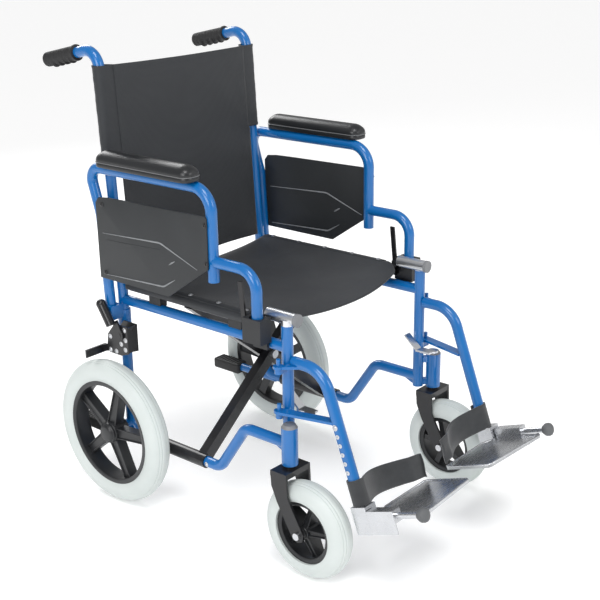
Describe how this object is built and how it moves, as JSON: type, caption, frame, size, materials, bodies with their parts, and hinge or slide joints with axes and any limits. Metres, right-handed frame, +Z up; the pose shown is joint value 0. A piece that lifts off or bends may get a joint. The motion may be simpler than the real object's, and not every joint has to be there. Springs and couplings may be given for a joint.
{
  "type": "folding wheelchair",
  "caption": "Folding attendant-pushed wheelchair: blue tube side frames, scissor brace, sling seat and back, flip-back arms, swing-away footrests, solid tyres.",
  "frame": {"origin": "on the floor under the middle of the chair's box", "axes": "+Z up, +Y towards the push handles, +X towards the occupant's left side frame"},
  "size_m": [0.566, 0.9519, 0.9394],
  "materials": {
    "frame_paint": "blue gloss powder coat",
    "black_steel": "black gloss powder coat",
    "plated_steel": "zinc plated",
    "aluminium": "satin cast aluminium",
    "grey_plastic": "mid-grey moulded plastic",
    "black_plastic": "black moulded plastic",
    "wheel_plastic": "black moulded nylon",
    "grip_rubber": "black soft rubber",
    "grey_rubber": "grey rubber",
    "tyre_rubber": "pale grey non-marking rubber",
    "pad_vinyl": "black vinyl, slight sheen",
    "sling_fabric": "charcoal coated nylon",
    "webbing": "dark grey woven webbing"
  },
  "bodies": {
    "right_frame": {"right_side_frame": "frame_paint", "right_seat_saddles": "grey_plastic", "right_arm_socket": "black_plastic", "right_tube_caps": "grey_plastic", "right_hand_grip": "grip_rubber", "right_tipping_pedal": "grip_rubber", "right_brake_bracket": "black_steel", "right_wheel_axle": "plated_steel", "right_stem_bearings": "plated_steel", "back_cloth": "sling_fabric"},
    "right_rear_wheel": {"right_rear_tyre": "tyre_rubber", "right_rear_rim": "wheel_plastic"},
    "right_fork": {"right_castor_fork": "black_steel", "right_castor_axle": "plated_steel"},
    "right_castor": {"right_castor_tyre": "tyre_rubber", "right_castor_rim": "wheel_plastic"},
    "right_armrest": {"right_arm_tube": "frame_paint", "right_arm_pad": "pad_vinyl", "right_skirt_guard": "black_plastic"},
    "right_arm_catch": {"right_arm_release": "black_steel"},
    "right_brake_handle": {"right_brake_lever": "black_steel"},
    "right_brake_arm": {"right_brake_shoe": "black_steel"},
    "right_footrest_hanger": {"right_hanger": "frame_paint"},
    "right_footrest_catch": {"right_hanger_latch": "plated_steel"},
    "right_footrest_slider": {"right_foot_slider": "aluminium", "right_bumper": "grey_rubber", "right_heel_strap": "webbing"},
    "right_foot_plate": {"right_footplate": "aluminium"},
    "left_frame": {"left_side_frame": "frame_paint", "left_seat_saddles": "grey_plastic", "left_arm_socket": "black_plastic", "left_tube_caps": "grey_plastic", "left_hand_grip": "grip_rubber", "left_tipping_pedal": "grip_rubber", "left_brake_bracket": "black_steel", "left_wheel_axle": "plated_steel", "left_stem_bearings": "plated_steel"},
    "left_rear_wheel": {"left_rear_tyre": "tyre_rubber", "left_rear_rim": "wheel_plastic"},
    "left_fork": {"left_castor_fork": "black_steel", "left_castor_axle": "plated_steel"},
    "left_castor": {"left_castor_tyre": "tyre_rubber", "left_castor_rim": "wheel_plastic"},
    "left_armrest": {"left_arm_tube": "frame_paint", "left_arm_pad": "pad_vinyl", "left_skirt_guard": "black_plastic"},
    "left_arm_catch": {"left_arm_release": "black_steel"},
    "left_brake_handle": {"left_brake_lever": "black_steel"},
    "left_brake_arm": {"left_brake_shoe": "black_steel"},
    "left_footrest_hanger": {"left_hanger": "frame_paint"},
    "left_footrest_catch": {"left_hanger_latch": "plated_steel"},
    "left_footrest_slider": {"left_foot_slider": "aluminium", "left_bumper": "grey_rubber", "left_heel_strap": "webbing"},
    "left_foot_plate": {"left_footplate": "aluminium"},
    "front_leg": {"brace_front": "black_steel", "brace_bolt": "plated_steel", "seat_cloth": "sling_fabric"},
    "rear_leg": {"brace_rear": "black_steel"}
  },
  "joints": [
    {"name": "fold", "type": "hinge", "parent": "right_frame", "child": "front_leg", "pos_m": [-0.209, 0.08677, 0.134], "axis": [0, -1, 0], "range_deg": [0, 36], "deforming": ["seat_cloth", "back_cloth"]},
    {"name": "brace_cross", "type": "hinge", "parent": "front_leg", "child": "rear_leg", "pos_m": [0, 0.08677, 0.3011], "axis": [0, -1, 0], "range_deg": [-72, 0]},
    {"name": "frame_fold", "type": "hinge", "parent": "rear_leg", "child": "left_frame", "pos_m": [0.209, 0.08677, 0.134], "axis": [0, -1, 0], "range_deg": [0, 36]},
    {"name": "right_wheel_spin", "type": "hinge", "parent": "right_frame", "child": "right_rear_wheel", "pos_m": [-0.257, 0.28677, 0.155], "axis": [1, 0, 0], "continuous": true},
    {"name": "right_castor_swivel", "type": "hinge", "parent": "right_frame", "child": "right_fork", "pos_m": [-0.233, -0.17923, 0.25], "axis": [0, 0, 1], "continuous": true},
    {"name": "right_castor_spin", "type": "hinge", "parent": "right_fork", "child": "right_castor", "pos_m": [-0.233, -0.22323, 0.096], "axis": [1, 0, 0], "continuous": true},
    {"name": "right_arm_flip", "type": "hinge", "parent": "right_frame", "child": "right_armrest", "pos_m": [-0.236, 0.29477, 0.418], "axis": [-1, 0, 0], "range_deg": [0, 95]},
    {"name": "right_arm_catch_turn", "type": "hinge", "parent": "right_frame", "child": "right_arm_catch", "pos_m": [-0.234, -0.07723, 0.466], "axis": [-1, 0, 0], "range_deg": [0, 25], "stiffness_Nm_per_rad": 0.1, "springref_deg": -11.46},
    {"name": "right_brake_turn", "type": "hinge", "parent": "right_frame", "child": "right_brake_handle", "pos_m": [-0.25, 0.25677, 0.372], "axis": [1, 0, 0], "range_deg": [0, 40]},
    {"name": "right_brake_shoe_turn", "type": "hinge", "parent": "right_frame", "child": "right_brake_arm", "pos_m": [-0.239, 0.27677, 0.34], "axis": [-1, 0, 0], "range_deg": [0, 10]},
    {"name": "right_footrest_swing", "type": "hinge", "parent": "right_frame", "child": "right_footrest_hanger", "pos_m": [-0.235, -0.15723, 0.36], "axis": [0, 0, -1], "range_deg": [0, 100]},
    {"name": "right_footrest_catch_turn", "type": "hinge", "parent": "right_footrest_hanger", "child": "right_footrest_catch", "pos_m": [-0.2, -0.19923, 0.3095], "axis": [0, 0, -1], "range_deg": [0, 20], "stiffness_Nm_per_rad": 0.1, "springref_deg": -11.46},
    {"name": "right_footrest_slide", "type": "slide", "parent": "right_footrest_hanger", "child": "right_footrest_slider", "axis": [0, -0.342, -0.9397], "range_m": [-0.03, 0.05]},
    {"name": "right_footplate_flip", "type": "hinge", "parent": "right_footrest_slider", "child": "right_foot_plate", "pos_m": [-0.216, -0.33058, 0.15428], "axis": [0, -0.9397, 0.342], "range_deg": [0, 90], "deforming": ["right_heel_strap"]},
    {"name": "left_wheel_spin", "type": "hinge", "parent": "left_frame", "child": "left_rear_wheel", "pos_m": [0.257, 0.28677, 0.155], "axis": [1, 0, 0], "continuous": true},
    {"name": "left_castor_swivel", "type": "hinge", "parent": "left_frame", "child": "left_fork", "pos_m": [0.233, -0.17923, 0.25], "axis": [0, 0, 1], "continuous": true},
    {"name": "left_castor_spin", "type": "hinge", "parent": "left_fork", "child": "left_castor", "pos_m": [0.233, -0.22323, 0.096], "axis": [1, 0, 0], "continuous": true},
    {"name": "left_arm_flip", "type": "hinge", "parent": "left_frame", "child": "left_armrest", "pos_m": [0.236, 0.29477, 0.418], "axis": [-1, 0, 0], "range_deg": [0, 95]},
    {"name": "left_arm_catch_turn", "type": "hinge", "parent": "left_frame", "child": "left_arm_catch", "pos_m": [0.234, -0.07723, 0.466], "axis": [-1, 0, 0], "range_deg": [0, 25], "stiffness_Nm_per_rad": 0.1, "springref_deg": -11.46},
    {"name": "left_brake_turn", "type": "hinge", "parent": "left_frame", "child": "left_brake_handle", "pos_m": [0.25, 0.25677, 0.372], "axis": [1, 0, 0], "range_deg": [0, 40]},
    {"name": "left_brake_shoe_turn", "type": "hinge", "parent": "left_frame", "child": "left_brake_arm", "pos_m": [0.239, 0.27677, 0.34], "axis": [-1, 0, 0], "range_deg": [0, 10]},
    {"name": "left_footrest_swing", "type": "hinge", "parent": "left_frame", "child": "left_footrest_hanger", "pos_m": [0.235, -0.15723, 0.36], "axis": [0, 0, 1], "range_deg": [0, 100]},
    {"name": "left_footrest_catch_turn", "type": "hinge", "parent": "left_footrest_hanger", "child": "left_footrest_catch", "pos_m": [0.2, -0.19923, 0.3095], "axis": [0, 0, 1], "range_deg": [0, 20], "stiffness_Nm_per_rad": 0.1, "springref_deg": -11.46},
    {"name": "left_footrest_slide", "type": "slide", "parent": "left_footrest_hanger", "child": "left_footrest_slider", "axis": [0, -0.342, -0.9397], "range_m": [-0.03, 0.05]},
    {"name": "left_footplate_flip", "type": "hinge", "parent": "left_footrest_slider", "child": "left_foot_plate", "pos_m": [0.216, -0.33058, 0.15428], "axis": [0, 0.9397, -0.342], "range_deg": [0, 90], "deforming": ["left_heel_strap"]}
  ],
  "couplings": [
    {"joint": "brace_cross", "follows": "fold", "ratio": -2},
    {"joint": "frame_fold", "follows": "fold", "ratio": 1},
    {"joint": "right_footplate_flip", "follows": "fold", "ratio": 2.5},
    {"joint": "right_brake_shoe_turn", "follows": "right_brake_turn", "ratio": 0.25},
    {"joint": "left_footplate_flip", "follows": "fold", "ratio": 2.5},
    {"joint": "left_brake_shoe_turn", "follows": "left_brake_turn", "ratio": 0.25}
  ]
}
